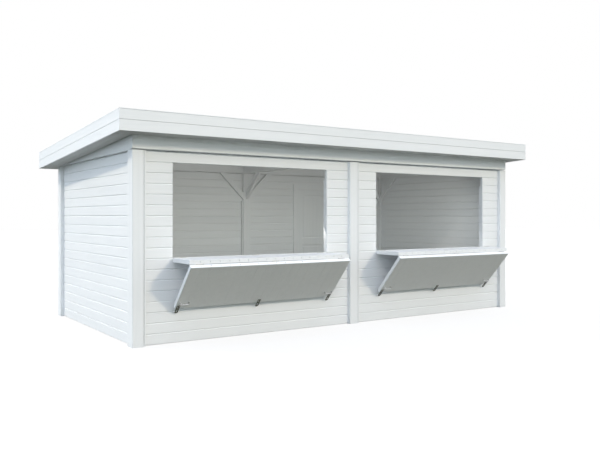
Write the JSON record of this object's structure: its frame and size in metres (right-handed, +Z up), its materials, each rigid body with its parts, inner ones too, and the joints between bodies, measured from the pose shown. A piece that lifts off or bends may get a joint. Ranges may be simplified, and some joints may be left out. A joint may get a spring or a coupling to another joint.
{
  "type": "wooden market hut",
  "caption": "White board-walled market hut on posts with a low mono-pitch roof, fold-out serving hatches along the front and a door at the back.",
  "frame": {"origin": "on the ground, under the middle of the object's box with the hatches folded out", "axes": "+X along the front to the right, +Y from the front to the back, +Z up"},
  "size_m": [6.424, 3.6104, 2.513],
  "materials": {
    "painted_frame": "satin white paint on squared timber",
    "painted_boards": "satin white paint on grooved boards",
    "painted_panels": "smooth white paint on flat panels",
    "steel": "zinc plated",
    "roof_membrane": "matt roofing sheet"
  },
  "bodies": {
    "hut": {"front_left_post": "painted_frame", "front_centre_post": "painted_frame", "front_right_post": "painted_frame", "back_left_post": "painted_frame", "back_centre_post": "painted_frame", "back_right_post": "painted_frame", "front_beam": "painted_frame", "back_beam": "painted_frame", "side_beams": "painted_frame", "centre_beam": "painted_frame", "front_braces": "painted_frame", "back_braces": "painted_frame", "side_braces": "painted_frame", "centre_braces": "painted_frame", "hatch_jamb_battens": "painted_frame", "door_frame": "painted_frame", "front_fascia": "painted_frame", "back_fascia": "painted_frame", "side_fascias": "painted_frame", "roof_joists": "painted_frame", "roof_blocking": "painted_frame", "front_wall_below_hatches": "painted_boards", "front_wall_beside_hatches": "painted_boards", "front_wall_over_hatches": "painted_boards", "left_wall": "painted_boards", "right_wall": "painted_boards", "back_left_wall": "painted_boards", "back_wall_beside_door": "painted_boards", "back_wall_over_door": "painted_boards", "soffit": "painted_boards", "roof_deck": "painted_boards", "left_hatch_wall_hinges": "steel", "right_hatch_wall_hinges": "steel", "door_frame_hinges": "steel", "roof_covering": "roof_membrane"},
    "left_counter_flap": {"left_counter": "painted_panels", "left_counter_hinges": "steel"},
    "left_fold_leaf": {"left_hatch_leaf": "painted_panels", "left_hatch_leaf_fittings": "steel"},
    "right_counter_flap": {"right_counter": "painted_panels", "right_counter_hinges": "steel"},
    "right_fold_leaf": {"right_hatch_leaf": "painted_panels", "right_hatch_leaf_fittings": "steel"},
    "door": {"door_leaf": "painted_panels", "door_fittings": "steel"}
  },
  "joints": [
    {"name": "left_counter_hinge", "type": "hinge", "parent": "hut", "child": "left_counter_flap", "pos_m": [-1.4675, -1.32881, 0.94], "axis": [-1, 0, 0], "range_deg": [0, 90]},
    {"name": "left_leaf_hinge", "type": "hinge", "parent": "left_counter_flap", "child": "left_fold_leaf", "pos_m": [-1.4675, -1.77581, 0.895], "axis": [-1, 0, 0], "range_deg": [0, 131.53]},
    {"name": "right_counter_hinge", "type": "hinge", "parent": "hut", "child": "right_counter_flap", "pos_m": [1.4675, -1.32881, 0.94], "axis": [-1, 0, 0], "range_deg": [0, 90]},
    {"name": "right_leaf_hinge", "type": "hinge", "parent": "right_counter_flap", "child": "right_fold_leaf", "pos_m": [1.4675, -1.77581, 0.895], "axis": [-1, 0, 0], "range_deg": [0, 131.53]},
    {"name": "door_hinge", "type": "hinge", "parent": "hut", "child": "door", "pos_m": [1.0255, 1.57019, 0.96], "axis": [0, 0, 1], "range_deg": [0, 100]}
  ]
}
